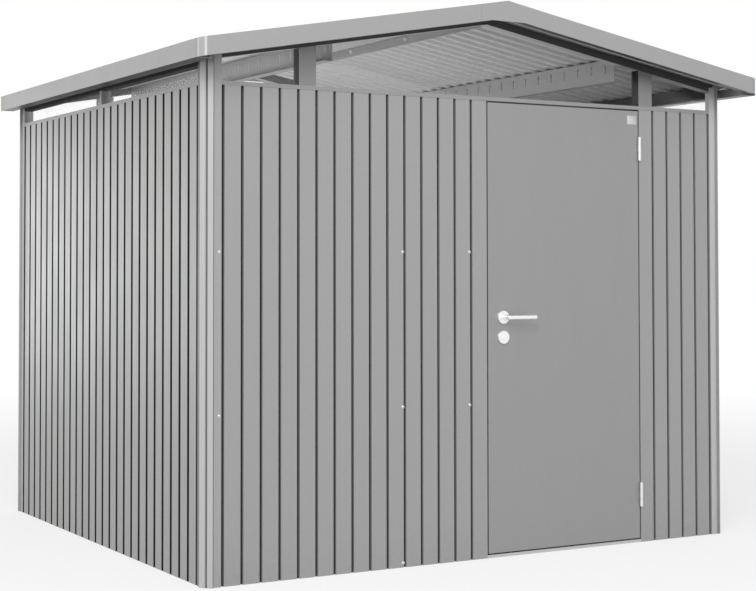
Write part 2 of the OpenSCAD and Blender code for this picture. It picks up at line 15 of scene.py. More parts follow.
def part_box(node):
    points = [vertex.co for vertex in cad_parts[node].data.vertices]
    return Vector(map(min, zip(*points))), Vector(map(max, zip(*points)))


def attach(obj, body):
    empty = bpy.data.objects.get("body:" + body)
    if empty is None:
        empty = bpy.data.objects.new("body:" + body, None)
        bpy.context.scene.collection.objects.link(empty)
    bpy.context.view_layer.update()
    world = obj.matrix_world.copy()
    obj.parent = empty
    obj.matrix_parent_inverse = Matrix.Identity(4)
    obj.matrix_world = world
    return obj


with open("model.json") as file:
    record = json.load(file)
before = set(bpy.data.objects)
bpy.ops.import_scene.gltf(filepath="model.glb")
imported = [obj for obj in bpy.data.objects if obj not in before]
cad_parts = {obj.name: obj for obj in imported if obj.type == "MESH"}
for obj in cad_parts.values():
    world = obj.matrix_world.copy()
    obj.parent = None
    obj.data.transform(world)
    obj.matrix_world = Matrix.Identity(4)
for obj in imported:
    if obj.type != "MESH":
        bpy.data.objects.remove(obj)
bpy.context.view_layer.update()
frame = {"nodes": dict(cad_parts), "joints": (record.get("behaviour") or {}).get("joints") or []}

LOG = logging.getLogger("shed")

Colour = tuple[float, float, float]
Ring = list[Vector]
# Tone of the painted shade down in the grooves and along them.
GROOVE_SHADE_TONE = (0.012, 0.012, 0.012, 1.0)
# Tone of the painted shade in the post flutes and beside their steps.
SEAM_SHADE_TONE = (0.03, 0.03, 0.03, 1.0)
PAINT_GREY = (0.4, 0.4, 0.4, 1.0)
GROOVE_PITCH = 0.080
CORNER_LEG = 0.072


class Body(Enum):
    """Bodies that carry added pieces."""

    SHED = "shed"
    DOOR = "door"


class Slot(Enum):
    """Slots of the shed's record; no piece is put in them."""

    STEEL = "satin_steel"
    HINGE = "hinge_steel"


class Wall(Enum):
    """Outer walls, each with the direction that points into the shed."""

    FRONT = (0.0, 1.0, 0.0)
    BACK = (0.0, -1.0, 0.0)
    LEFT = (1.0, 0.0, 0.0)
    RIGHT = (-1.0, 0.0, 0.0)

    @property
    def inward(self) -> Vector:
        """Unit vector from the wall's outer face into the shed."""
        return Vector(self.value)

    @property
    def along(self) -> Vector:
        """Unit vector to the right for someone who looks at the wall from outside."""
        return self.inward.cross(Vector((0.0, 0.0, 1.0)))


def grey(level: float, warmth: float = 0.0) -> Colour:
    """Neutral colour from a display level.

    Args:
        level: Display level from 0 to 255.
        warmth: Share by which red gains and blue loses.

    Returns:
        Linear red, green and blue.
    """
    share = level / 255.0
    linear = share / 12.92 if share <= 0.04045 else ((share + 0.055) / 1.055) ** 2.4
    return (linear * (1.0 + warmth), linear, linear * (1.0 - warmth))


class NodeSketch:
    """Adds and links the nodes of one node tree."""

    def __init__(self, tree: bpy.types.NodeTree) -> None:
        """Keeps the tree that is drawn in."""
        self.tree = tree

    def add(self, kind: str, **settings: object) -> bpy.types.Node:
        """Adds a node.

        Args:
            kind: Type name of the node.
            settings: Properties to set on the node.

        Returns:
            The new node.
        """
        node = self.tree.nodes.new(kind)
        for key, value in settings.items():
            setattr(node, key, value)
        return node

    def join(self, source: bpy.types.NodeSocket, target: bpy.types.NodeSocket) -> None:
        """Links an output to an input."""
        self.tree.links.new(source, target)

    def math(self, operation: str, first: object, second: object = None) -> bpy.types.NodeSocket:
        """Adds a math node.

        Args:
            operation: Name of the operation.
            first: Socket or number of the first input.
            second: Socket or number of the second input, where the operation has one.

        Returns:
            The result's socket.
        """
        node = self.add("ShaderNodeMath", operation=operation)
        for target, value in zip(node.inputs, (first, second)):
            self.feed(target, value)
        return node.outputs[0]

    def feed(self, target: bpy.types.NodeSocket, value: object) -> None:
        """Links a socket to an input, or sets a plain value there."""
        if isinstance(value, bpy.types.NodeSocket):
            self.join(value, target)
        elif value is not None:
            target.default_value = value

    def span(self, value: object, low: object, high: object,
             to_low: float, to_high: float) -> bpy.types.NodeSocket:
        """Maps a value smoothly from one range to another.

        Args:
            value: Socket or number to map.
            low: Start of its range.
            high: End of its range.
            to_low: Result at the start.
            to_high: Result at the end.

        Returns:
            The result's socket.
        """
        node = self.add("ShaderNodeMapRange", interpolation_type="SMOOTHSTEP")
        for key, number in zip(("Value", "From Min", "From Max", "To Min", "To Max"),
                               (value, low, high, to_low, to_high)):
            self.feed(node.inputs[key], number)
        return node.outputs["Result"]

    def blend(self, kind: str, factor: object, first: object, second: object) -> bpy.types.NodeSocket:
        """Mixes two colours.

        Args:
            kind: Blend type of the mix.
            factor: Socket or number of the share of the second colour.
            first: Socket or colour below.
            second: Socket or colour above.

        Returns:
            The result's socket.
        """
        node = self.add("ShaderNodeMix", data_type="RGBA", blend_type=kind, clamp_result=False)
        inputs = [socket for socket in node.inputs if socket.type == "RGBA"]
        self.feed(node.inputs["Factor"], factor)
        self.feed(inputs[0], first)
        self.feed(inputs[1], second)
        return next(socket for socket in node.outputs if socket.type == "RGBA")

    def outer(self, inward: bpy.types.NodeSocket) -> bpy.types.NodeSocket:
        """Mask that leaves out the faces that look inward.

        Args:
            inward: Socket of the direction into the shed; with no length, no face is left out.

        Returns:
            Socket of the mask.
        """
        turned = self.add("ShaderNodeVectorMath", operation="DOT_PRODUCT")
        self.join(self.add("ShaderNodeTexCoord").outputs["Normal"], turned.inputs[0])
        self.join(inward, turned.inputs[1])
        return self.span(turned.outputs["Value"], 0.3, 0.7, 1.0, 0.0)

    def noise(self, place: bpy.types.NodeSocket, scale: object, detail: float,
              stretch: Sequence[float] = (1, 1, 1)) -> bpy.types.NodeSocket:
        """Adds a noise texture.

        Args:
            place: Socket of the point in metres.
            scale: Socket or number of features per metre.
            detail: Number of finer layers.
            stretch: Scale of the point on each axis.

        Returns:
            Socket of the noise value.
        """
        mapping = self.add("ShaderNodeVectorMath", operation="MULTIPLY")
        self.join(place, mapping.inputs[0])
        mapping.inputs[1].default_value = stretch
        texture = self.add("ShaderNodeTexNoise")
        self.join(mapping.outputs[0], texture.inputs["Vector"])
        self.feed(texture.inputs["Scale"], scale)
        texture.inputs["Detail"].default_value = detail
        return texture.outputs["Fac"]


class Effects:
    """Shader node groups that several finishes share, each made once."""

    made: dict[str, bpy.types.NodeTree] = {}

    @classmethod
    def begin(cls, name: str, inputs: Sequence[tuple], outputs: Sequence[tuple]) -> tuple:
        """Starts a group with its sockets.

        Args:
            name: Name of the group.
            inputs: Name, socket type and default of each input.
            outputs: Name and socket type of each output.

        Returns:
            The sketch of the group, its input node and its output node.
        """
        tree = bpy.data.node_groups.new(name, "ShaderNodeTree")
        for label, kind, value in inputs:
            tree.interface.new_socket(label, in_out="INPUT", socket_type=kind).default_value = value
        for label, kind in outputs:
            tree.interface.new_socket(label, in_out="OUTPUT", socket_type=kind)
        sketch = NodeSketch(tree)
        cls.made[name] = tree
        return sketch, sketch.add("NodeGroupInput"), sketch.add("NodeGroupOutput")

    @classmethod
    def place(cls, sketch: NodeSketch, name: str, values: dict[str, object]) -> bpy.types.Node:
        """Places a group in a material.

        Args:
            sketch: Sketch of the material.
            name: Name of the group, which is also its maker's name.
            values: Socket or value for each input.

        Returns:
            The group node.
        """
        if name not in cls.made:
            getattr(cls, name)()
        node = sketch.add("ShaderNodeGroup", node_tree=cls.made[name])
        for label, value in values.items():
            sketch.feed(node.inputs[label], value)
        return node

    @staticmethod
    def end(sketch: NodeSketch, result: bpy.types.Node, **sockets: bpy.types.NodeSocket) -> None:
        """Links the named results to a group's output node."""
        for label, socket in sockets.items():
            sketch.join(socket, result.inputs[label])

    @classmethod
    def metal_flake(cls) -> None:
        """Fine flakes of metallic paint: a speckled tone and a slight grain."""
        sketch, source, result = cls.begin(
            "metal_flake",
            (("Colour", "NodeSocketColor", PAINT_GREY), ("Grain", "NodeSocketFloat", 700.0),
             ("Speckle", "NodeSocketFloat", 0.05)),
            (("Colour", "NodeSocketColor"), ("Height", "NodeSocketFloat")))
        place = sketch.add("ShaderNodeTexCoord").outputs["Object"]
        cells = sketch.add("ShaderNodeTexVoronoi")
        sketch.join(place, cells.inputs["Vector"])
        sketch.join(source.outputs["Grain"], cells.inputs["Scale"])
        parts = sketch.add("ShaderNodeSeparateColor")
        sketch.join(cells.outputs["Color"], parts.inputs[0])
        shift = sketch.math("MULTIPLY", sketch.math("SUBTRACT", parts.outputs[0], 0.5), 2.0)
        gain = sketch.math("ADD", sketch.math("MULTIPLY", shift, source.outputs["Speckle"]), 1.0)
        tone = sketch.add("ShaderNodeCombineColor")
        for channel in tone.inputs:
            sketch.join(gain, channel)
        colour = sketch.blend("MULTIPLY", 1.0, source.outputs["Colour"], tone.outputs[0])
        cls.end(sketch, result, Colour=colour, Height=parts.outputs[1])

    @classmethod
    def sheet_waves(cls) -> None:
        """Slow waves that rolled sheet keeps between its bends."""
        sketch, source, result = cls.begin(
            "sheet_waves",
            (("Scale", "NodeSocketFloat", 3.0),),
            (("Height", "NodeSocketFloat"), ("Cloud", "NodeSocketFloat")))
        place = sketch.add("ShaderNodeTexCoord").outputs["Object"]
        wide = sketch.noise(place, source.outputs["Scale"], 1.0, (1.0, 1.0, 0.35))
        finer = sketch.math("MULTIPLY", source.outputs["Scale"], 4.0)
        cloud = sketch.noise(place, finer, 3.0, (1.0, 1.0, 0.25))
        cls.end(sketch, result, Height=wide, Cloud=cloud)

    @classmethod
    def ground_dust(cls) -> None:
        """Pale dust that rain splashes onto the lowest part of the walls."""
        sketch, source, result = cls.begin(
            "ground_dust",
            (("Colour", "NodeSocketColor", PAINT_GREY),
             ("Dust", "NodeSocketColor", (0.35, 0.33, 0.3, 1)),
             ("Reach", "NodeSocketFloat", 0.2), ("Amount", "NodeSocketFloat", 0.3)),
            (("Colour", "NodeSocketColor"),))
        place = sketch.add("ShaderNodeTexCoord").outputs["Object"]
        axes = sketch.add("ShaderNodeSeparateXYZ")
        sketch.join(place, axes.inputs[0])
        height = sketch.math("DIVIDE", axes.outputs["Z"], source.outputs["Reach"])
        fade = sketch.span(height, 0.0, 1.0, 1.0, 0.0)
        spots = sketch.span(sketch.noise(place, 45.0, 5.0), 0.35, 0.7, 0.2, 1.0)
        mask = sketch.math("MULTIPLY", sketch.math("MULTIPLY", fade, spots), source.outputs["Amount"])
        colour = sketch.blend("MIX", mask, source.outputs["Colour"], source.outputs["Dust"])
        cls.end(sketch, result, Colour=colour)

    @classmethod
    def groove_shade(cls) -> None:
        """Painted shade down in the grooves of a sheet, by depth below its outer face."""
        sketch, source, result = cls.begin(
            "groove_shade",
            (("Colour", "NodeSocketColor", PAINT_GREY), ("Inward", "NodeSocketVector", (0, 1, 0)),
             ("Face", "NodeSocketFloat", 0.0), ("Start", "NodeSocketFloat", 0.001),
             ("End", "NodeSocketFloat", 0.007), ("Shade", "NodeSocketFloat", 0.5)),
            (("Colour", "NodeSocketColor"), ("Mask", "NodeSocketFloat")))
        place = sketch.add("ShaderNodeTexCoord").outputs["Object"]
        along = sketch.add("ShaderNodeVectorMath", operation="DOT_PRODUCT")
        sketch.join(place, along.inputs[0])
        sketch.join(source.outputs["Inward"], along.inputs[1])
        below = sketch.math("SUBTRACT", along.outputs["Value"], source.outputs["Face"])
        deep = sketch.span(below, source.outputs["Start"], source.outputs["End"], 0.0, 1.0)
        mask = sketch.math("MULTIPLY", deep, sketch.outer(source.outputs["Inward"]))
        share = sketch.math("MULTIPLY", mask, source.outputs["Shade"])
        colour = sketch.blend("MIX", share, source.outputs["Colour"], GROOVE_SHADE_TONE)
        cls.end(sketch, result, Colour=colour, Mask=mask)

    @classmethod
    def groove_shade_lines(cls) -> None:
        """Painted shade along evenly spaced grooves, by distance from the nearest one."""
        sketch, source, result = cls.begin(
            "groove_shade_lines",
            (("Colour", "NodeSocketColor", PAINT_GREY), ("Inward", "NodeSocketVector", (0, 0, 0)),
             ("First", "NodeSocketFloat", 0.0),
             ("Pitch", "NodeSocketFloat", GROOVE_PITCH), ("Full", "NodeSocketFloat", 0.007),
             ("End", "NodeSocketFloat", 0.01), ("Shade", "NodeSocketFloat", 0.5)),
            (("Colour", "NodeSocketColor"), ("Mask", "NodeSocketFloat")))
        axes = sketch.add("ShaderNodeSeparateXYZ")
        sketch.join(sketch.add("ShaderNodeTexCoord").outputs["Object"], axes.inputs[0])
        offset = sketch.math("SUBTRACT", axes.outputs["Y"], source.outputs["First"])
        away = sketch.math("PINGPONG", offset, sketch.math("MULTIPLY", source.outputs["Pitch"], 0.5))
        close = sketch.span(away, source.outputs["Full"], source.outputs["End"], 1.0, 0.0)
        mask = sketch.math("MULTIPLY", close, sketch.outer(source.outputs["Inward"]))
        share = sketch.math("MULTIPLY", mask, source.outputs["Shade"])
        colour = sketch.blend("MIX", share, source.outputs["Colour"], GROOVE_SHADE_TONE)
        cls.end(sketch, result, Colour=colour, Mask=mask)

    @classmethod
    def facing_painted_light(cls) -> None:
        """Painted light on the faces that look one way: a darker tone paints shade there, a paler one paints
        light.
        """
        sketch, source, result = cls.begin(
            "facing_painted_light",
            (("Colour", "NodeSocketColor", PAINT_GREY),
             ("Tone", "NodeSocketColor", (0.01, 0.01, 0.01, 1)),
             ("Toward", "NodeSocketVector", (0, 0, -1)), ("Shade", "NodeSocketFloat", 0.5)),
            (("Colour", "NodeSocketColor"),))
        turned = sketch.add("ShaderNodeVectorMath", operation="DOT_PRODUCT")
        sketch.join(sketch.add("ShaderNodeTexCoord").outputs["Normal"], turned.inputs[0])
        sketch.join(source.outputs["Toward"], turned.inputs[1])
        mask = sketch.span(turned.outputs["Value"], 0.75, 0.95, 0.0, 1.0)
        share = sketch.math("MULTIPLY", mask, source.outputs["Shade"])
        colour = sketch.blend("MIX", share, source.outputs["Colour"], source.outputs["Tone"])
        cls.end(sketch, result, Colour=colour)

    @classmethod
    def bend_highlight(cls) -> None:
        """Painted highlight where a sheet turns, by the direction of its upright faces."""
        sketch, source, result = cls.begin(
            "bend_highlight",
            (("Colour", "NodeSocketColor", PAINT_GREY),
             ("Bright", "NodeSocketColor", (0.6, 0.6, 0.6, 1)),
             ("Turns", "NodeSocketFloat", 2.0)),
            (("Colour", "NodeSocketColor"),))
        axes = sketch.add("ShaderNodeSeparateXYZ")
        sketch.join(sketch.add("ShaderNodeTexCoord").outputs["Normal"], axes.inputs[0])
        angle = sketch.math("ARCTAN2", axes.outputs["Y"], axes.outputs["X"])
        wave = sketch.math("SINE", sketch.math("MULTIPLY", angle, source.outputs["Turns"]))
        upright = sketch.span(sketch.math("ABSOLUTE", axes.outputs["Z"]), 0.2, 0.6, 1.0, 0.0)
        bent = sketch.span(sketch.math("ABSOLUTE", wave), 0.2, 0.9, 0.0, 1.0)
        mask = sketch.math("MULTIPLY", bent, upright)
        colour = sketch.blend("MIX", mask, source.outputs["Colour"], source.outputs["Bright"])
        cls.end(sketch, result, Colour=colour)

    @classmethod
    def post_seam_shade(cls) -> None:
        """Painted shade in the flute of the corner posts and painted shadow beside their steps."""
        sketch, source, result = cls.begin(
            "post_seam_shade",
            (("Colour", "NodeSocketColor", PAINT_GREY), ("Half X", "NodeSocketFloat", 1.0),
             ("Half Y", "NodeSocketFloat", 1.0), ("Middle Y", "NodeSocketFloat", 0.0),
             ("Leg", "NodeSocketFloat", 0.038), ("Step", "NodeSocketFloat", 0.01),
             ("Shade", "NodeSocketFloat", 0.6)),
            (("Colour", "NodeSocketColor"), ("Mask", "NodeSocketFloat")))
        flute_depth, flute_edge = (0.0008, 0.0045), (0.029, 0.031)
        foot_fade, step_edge = (0.006, 0.011), (-0.002, -0.0005)
        axes = sketch.add("ShaderNodeSeparateXYZ")
        sketch.join(sketch.add("ShaderNodeTexCoord").outputs["Object"], axes.inputs[0])
        shifted = sketch.math("SUBTRACT", axes.outputs["Y"], source.outputs["Middle Y"])
        u = sketch.math("SUBTRACT", source.outputs["Half X"], sketch.math("ABSOLUTE", axes.outputs["X"]))
        v = sketch.math("SUBTRACT", source.outputs["Half Y"], sketch.math("ABSOLUTE", shifted))
        far, near = sketch.math("MAXIMUM", u, v), sketch.math("MINIMUM", u, v)
        below = sketch.math("SUBTRACT", sketch.math("ADD", u, v), source.outputs["Leg"])
        flute = sketch.math("MULTIPLY", sketch.span(below, *flute_depth, 0.0, 1.0),
                            sketch.span(far, *flute_edge, 1.0, 0.0))
        away = sketch.math("SUBTRACT", far, source.outputs["Leg"])
        down = sketch.math("SUBTRACT", near, source.outputs["Step"])
        beside = sketch.math("MULTIPLY", sketch.span(away, *foot_fade, 1.0, 0.0),
                             sketch.span(away, *step_edge, 0.0, 1.0))
        foot = sketch.math("MULTIPLY", beside, sketch.span(down, *step_edge, 0.0, 1.0))
        mask = sketch.math("MAXIMUM", flute, foot)
        share = sketch.math("MULTIPLY", mask, source.outputs["Shade"])
        colour = sketch.blend("MIX", share, source.outputs["Colour"], SEAM_SHADE_TONE)
        cls.end(sketch, result, Colour=colour, Mask=mask)

    @classmethod
    def brush_lines(cls) -> None:
        """Fine lines left by brushing steel."""
        sketch, source, result = cls.begin(
            "brush_lines",
            (("Colour", "NodeSocketColor", (0.8, 0.8, 0.8, 1)), ("Scale", "NodeSocketFloat", 60.0),
             ("Roughness", "NodeSocketFloat", 0.3)),
            (("Colour", "NodeSocketColor"), ("Roughness", "NodeSocketFloat"), ("Height", "NodeSocketFloat")))
        place = sketch.add("ShaderNodeTexCoord").outputs["Object"]
        lines = sketch.noise(place, source.outputs["Scale"], 2.0, (1.0, 8.0, 40.0))
        tone = sketch.span(lines, 0.25, 0.75, 0.94, 1.06)
        shade = sketch.add("ShaderNodeCombineColor")
        for channel in shade.inputs:
            sketch.join(tone, channel)
        colour = sketch.blend("MULTIPLY", 1.0, source.outputs["Colour"], shade.outputs[0])
        rough = sketch.math("MULTIPLY", source.outputs["Roughness"], sketch.span(lines, 0.2, 0.8, 0.8, 1.25))
        cls.end(sketch, result, Colour=colour, Roughness=rough, Height=lines)


def new_material(name: str) -> tuple[bpy.types.Material, NodeSketch, bpy.types.Node]:
    """Starts a material with a Principled shader.

    Args:
        name: Name of the material.

    Returns:
        The material, its sketch and its shader node.
    """
    material = bpy.data.materials.new(name)
    material.use_nodes = True
    sketch = NodeSketch(material.node_tree)
    material.node_tree.nodes.clear()
    shader = sketch.add("ShaderNodeBsdfPrincipled")
    output = sketch.add("ShaderNodeOutputMaterial")
    sketch.join(shader.outputs["BSDF"], output.inputs["Surface"])
    return material, sketch, shader


def add_bump(sketch: NodeSketch, shader: bpy.types.Node, heights: Sequence[tuple]) -> None:
    """Chains bumps into the shader's normal.

    Args:
        sketch: Sketch of the material.
        shader: Shader node that takes the normal.
        heights: Socket, strength and distance in metres of each bump.
    """
    normal = None
    for height, strength, distance in heights:
        bump = sketch.add("ShaderNodeBump")
        bump.inputs["Strength"].default_value = strength
        bump.inputs["Distance"].default_value = distance
        sketch.join(height, bump.inputs["Height"])
        if normal is not None:
            sketch.join(normal, bump.inputs["Normal"])
        normal = bump.outputs["Normal"]
    sketch.join(normal, shader.inputs["Normal"])


@dataclass(frozen=True)
class Grooves:
    """Where a grooved sheet's outer face lies and how much painted shade its grooves get."""

    inward: tuple[float, float, float]
    face: float
    start: float
    end: float
    shade: float

    def paint(self, sketch: NodeSketch, colour: object) -> tuple[bpy.types.NodeSocket, ...]:
        """Paints shade down in the grooves, and gives its mask."""
        shade = Effects.place(sketch, "groove_shade", {
            "Colour": colour, "Inward": self.inward, "Face": self.face,
            "Start": self.start, "End": self.end, "Shade": self.shade})
        return shade.outputs["Colour"], shade.outputs["Mask"]


@dataclass(frozen=True)
class PostSeamShade:
    """Where the corner posts stand and how much painted shade lies in their flutes and beside their steps."""

    half_x: float
    half_y: float
    middle_y: float
    shade: float = 0.2
    leg: float = 0.038
    step: float = 0.010

    def paint(self, sketch: NodeSketch, colour: object) -> tuple[bpy.types.NodeSocket, ...]:
        """Paints shade in the flutes and shadow beside the steps, and gives its mask."""
        seams = Effects.place(sketch, "post_seam_shade", {
            "Colour": colour, "Half X": self.half_x, "Half Y": self.half_y, "Middle Y": self.middle_y,
            "Leg": self.leg, "Step": self.step, "Shade": self.shade})
        return seams.outputs["Colour"], seams.outputs["Mask"]


@dataclass(frozen=True)
class GrooveShadeLines:
    """Place and spacing along Y of the grooves of a sheet, and how much painted shade lies along them."""

    first: float
    full: float
    end: float
    shade: float
    inward: tuple[float, float, float] = (0.0, 0.0, 0.0)
    pitch: float = GROOVE_PITCH

    def paint(self, sketch: NodeSketch, colour: object) -> tuple[bpy.types.NodeSocket, ...]:
        """Paints shade along the grooves, and gives its mask."""
        lines = Effects.place(sketch, "groove_shade_lines", {
            "Colour": colour, "Inward": self.inward, "First": self.first, "Pitch": self.pitch,
            "Full": self.full, "End": self.end, "Shade": self.shade})
        return lines.outputs["Colour"], lines.outputs["Mask"]


@dataclass(frozen=True)
class FacingPaintedLight:
    """Painted light on the faces that look one way, down unless stated: a darker tone paints shade, a paler
    one paints light.
    """

    tone: Colour
    shade: float
    toward: tuple[float, float, float] = (0.0, 0.0, -1.0)

    def paint(self, sketch: NodeSketch, colour: object) -> tuple[bpy.types.NodeSocket, ...]:
        """Blends a colour towards the painted tone on those faces."""
        toned = Effects.place(sketch, "facing_painted_light", {
            "Colour": colour, "Tone": (*self.tone, 1.0), "Toward": self.toward, "Shade": self.shade})
        return (toned.outputs["Colour"],)


@dataclass(frozen=True)
class BendHighlight:
    """Painted highlight where a sheet turns; two turns brighten slanted faces, four the bends beside them."""

    bright: Colour
    turns: float

    def paint(self, sketch: NodeSketch, colour: object) -> tuple[bpy.types.NodeSocket, ...]:
        """Paints the highlight where the sheet turns."""
        sheen = Effects.place(sketch, "bend_highlight", {
            "Colour": colour, "Bright": (*self.bright, 1.0), "Turns": self.turns})
        return (sheen.outputs["Colour"],)


Mark = Union[Grooves, GrooveShadeLines, PostSeamShade, FacingPaintedLight, BendHighlight]


@dataclass(frozen=True)
class MetallicPaint:
    """Metallic paint on folded sheet steel."""

    name: str
    colour: Colour
    metallic: float = 0.55
    roughness: float = 0.42
    rough_spread: float = 0.04
    coat: float = 0.15
    coat_roughness: float = 0.25
    grain: float = 700.0
    speckle: float = 0.05
    flake_bump: float = 0.04
    flake_depth: float = 0.0002
    wave: float = 0.25
    wave_scale: float = 3.0
    wave_depth: float = 0.004
    dust: float = 0.25
    dust_colour: Colour = grey(150, 0.03)

    def material(self, marks: Sequence[Mark] = (), suffix: str = "") -> bpy.types.Material:
        """Makes the paint.

        Args:
            marks: Painted shades and painted highlights that follow the form of the sheet, from the lowest to
                the top one.
            suffix: Ending of the material's name.

        Returns:
            The material.
        """
        material, sketch, shader = new_material(self.name + suffix)
        flake = Effects.place(sketch, "metal_flake", {
            "Colour": (*self.colour, 1.0), "Grain": self.grain, "Speckle": self.speckle})
        waves = Effects.place(sketch, "sheet_waves", {"Scale": self.wave_scale})
        colour = flake.outputs["Colour"]
        if self.dust:
            dust = Effects.place(sketch, "ground_dust", {
                "Colour": colour, "Dust": (*self.dust_colour, 1.0), "Amount": self.dust})
            colour = dust.outputs["Colour"]
        smooth, dull = self.roughness - self.rough_spread, self.roughness + self.rough_spread
        rough = sketch.span(waves.outputs["Cloud"], 0.3, 0.7, smooth, dull)
        coat: object = self.coat
        for mark in marks:
            colour, *shade_masks = mark.paint(sketch, colour)
            # Where shade is painted, the paint also turns matt and loses its coat.
            for mask in shade_masks:
                rough = sketch.math("MAXIMUM", rough, mask)
                if self.coat:
                    coat = sketch.math("MULTIPLY", sketch.math("SUBTRACT", 1.0, mask), coat)
        sketch.join(colour, shader.inputs["Base Color"])
        sketch.join(rough, shader.inputs["Roughness"])
        shader.inputs["Metallic"].default_value = self.metallic
        sketch.feed(shader.inputs["Coat Weight"], coat)
        shader.inputs["Coat Roughness"].default_value = self.coat_roughness
        add_bump(sketch, shader, ((waves.outputs["Height"], self.wave, self.wave_depth),
                                  (flake.outputs["Height"], self.flake_bump, self.flake_depth)))
        return material


@dataclass(frozen=True)
class BrushedSteel:
    """Satin or bright steel of fittings and fixings."""

    name: str
    colour: Colour
    roughness: float
    scale: float = 60.0
    metallic: float = 0.9
    bump: float = 0.05
    depth: float = 0.0002

    def material(self) -> bpy.types.Material:
        """Makes the steel, with fine brush lines."""
        material, sketch, shader = new_material(self.name)
        brush = Effects.place(sketch, "brush_lines", {
            "Colour": (*self.colour, 1.0), "Scale": self.scale, "Roughness": self.roughness})
        sketch.join(brush.outputs["Colour"], shader.inputs["Base Color"])
        sketch.join(brush.outputs["Roughness"], shader.inputs["Roughness"])
        shader.inputs["Metallic"].default_value = self.metallic
        add_bump(sketch, shader, ((brush.outputs["Height"], self.bump, self.depth),))
        return material


@dataclass(frozen=True)
class ClearSheet:
    """Clear plastic sheet of the band under the roof."""

    name: str
    colour: Colour = (0.93, 0.96, 0.97)
    roughness: float = 0.03
    alpha: float = 0.06
    ior: float = 1.49
    wave: float = 0.08
    wave_scale: float = 5.0
    wave_depth: float = 0.002

    def material(self) -> bpy.types.Material:
        """Makes the clear sheet, with the slow waves of extruded plastic."""
        material, sketch, shader = new_material(self.name)
        shader.inputs["Base Color"].default_value = (*self.colour, 1.0)
        shader.inputs["Alpha"].default_value = self.alpha
        shader.inputs["Transmission Weight"].default_value = 1.0
        shader.inputs["IOR"].default_value = self.ior
        waves = Effects.place(sketch, "sheet_waves", {"Scale": self.wave_scale})
        rough = sketch.span(waves.outputs["Cloud"], 0.3, 0.7, self.roughness, self.roughness * 2.0)
        sketch.join(rough, shader.inputs["Roughness"])
        add_bump(sketch, shader, ((waves.outputs["Height"], self.wave, self.wave_depth),))
        return material


